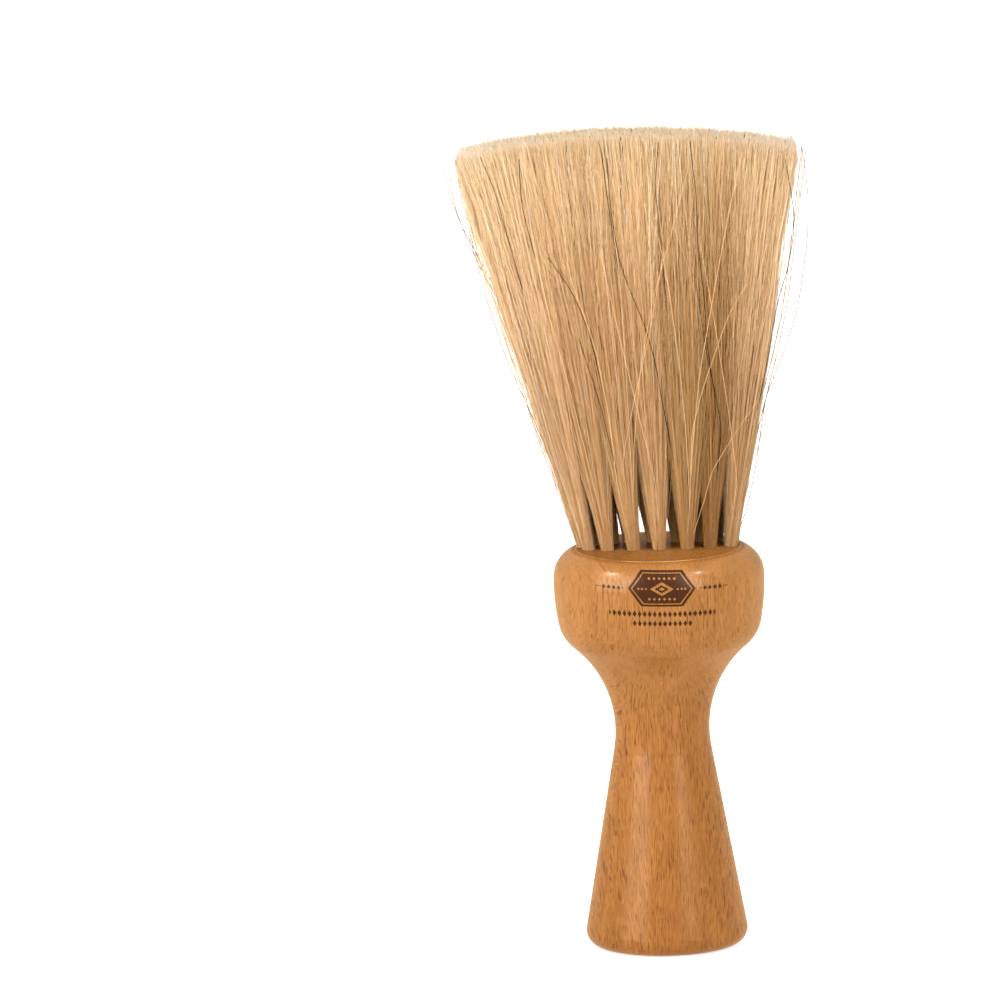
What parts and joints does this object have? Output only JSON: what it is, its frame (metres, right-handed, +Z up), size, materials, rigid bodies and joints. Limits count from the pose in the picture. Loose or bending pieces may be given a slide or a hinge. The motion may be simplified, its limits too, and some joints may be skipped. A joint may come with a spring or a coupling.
{
  "type": "neck duster brush",
  "caption": "Barber's neck duster: a turned, lacquered beech handle that stands on its foot, with a flat fan of long pale horsehair set in tufts in its head.",
  "frame": {"origin": "centre of the flat foot the brush stands on", "axes": "+Z up the turning axis towards the hair, +X to the right when the front is faced, -Y towards the viewer of the front; the fan of hair lies along X"},
  "size_m": [0.0969, 0.0588, 0.2286],
  "materials": {
    "lacquered_beech": "turned beech, warm orange tan, glossy clear lacquer",
    "horsehair": "pale blond horsehair with a few dark hairs, soft sheen",
    "anchor_wire": "flat drawn brass wire, unpolished"
  },
  "bodies": {
    "root": {"handle": "lacquered_beech", "anchors": "anchor_wire", "tuft_end_left": "horsehair", "tuft_front_01": "horsehair", "tuft_front_02": "horsehair", "tuft_front_03": "horsehair", "tuft_front_04": "horsehair", "tuft_front_05": "horsehair", "tuft_front_06": "horsehair", "tuft_front_07": "horsehair", "tuft_end_right": "horsehair", "tuft_back_01": "horsehair", "tuft_back_02": "horsehair", "tuft_back_03": "horsehair", "tuft_back_04": "horsehair", "tuft_back_05": "horsehair", "tuft_back_06": "horsehair", "tuft_back_07": "horsehair"}
  },
  "joints": []
}
